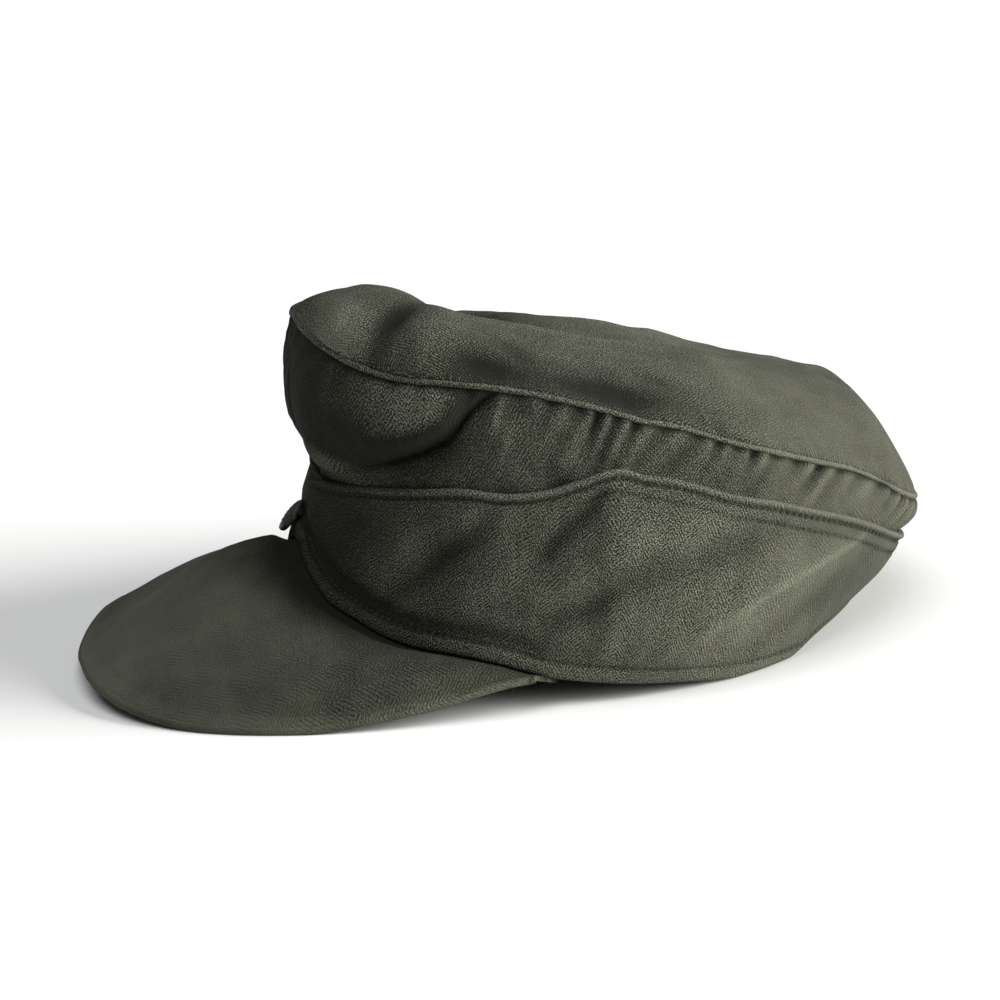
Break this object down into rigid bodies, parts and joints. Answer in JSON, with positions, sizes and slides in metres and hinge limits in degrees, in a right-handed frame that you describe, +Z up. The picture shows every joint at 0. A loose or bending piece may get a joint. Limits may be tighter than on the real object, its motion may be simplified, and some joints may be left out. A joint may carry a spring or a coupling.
{
  "type": "field cap",
  "caption": "Soft cloth field cap with an oval puffed top, a folded-up band round the crown, a stiff peak and a front button, lying on its rim.",
  "frame": {"origin": "middle of the cap's box, on the surface that it lies on", "axes": "+Z up, the peak points to -Y, the wearer's left is +X"},
  "size_m": [0.1832, 0.3064, 0.1321],
  "materials": {
    "cloth": "matte herringbone twill, faded",
    "turn_up_cloth": "matte herringbone twill, faded",
    "peak_cloth": "matte herringbone twill over a stiff core",
    "button_paint": "dark pebbled paint, worn"
  },
  "bodies": {
    "root": {"crown_top": "cloth", "crown_side_left": "cloth", "crown_side_right": "cloth", "turn_up": "turn_up_cloth", "peak": "peak_cloth", "button": "button_paint"}
  },
  "joints": []
}
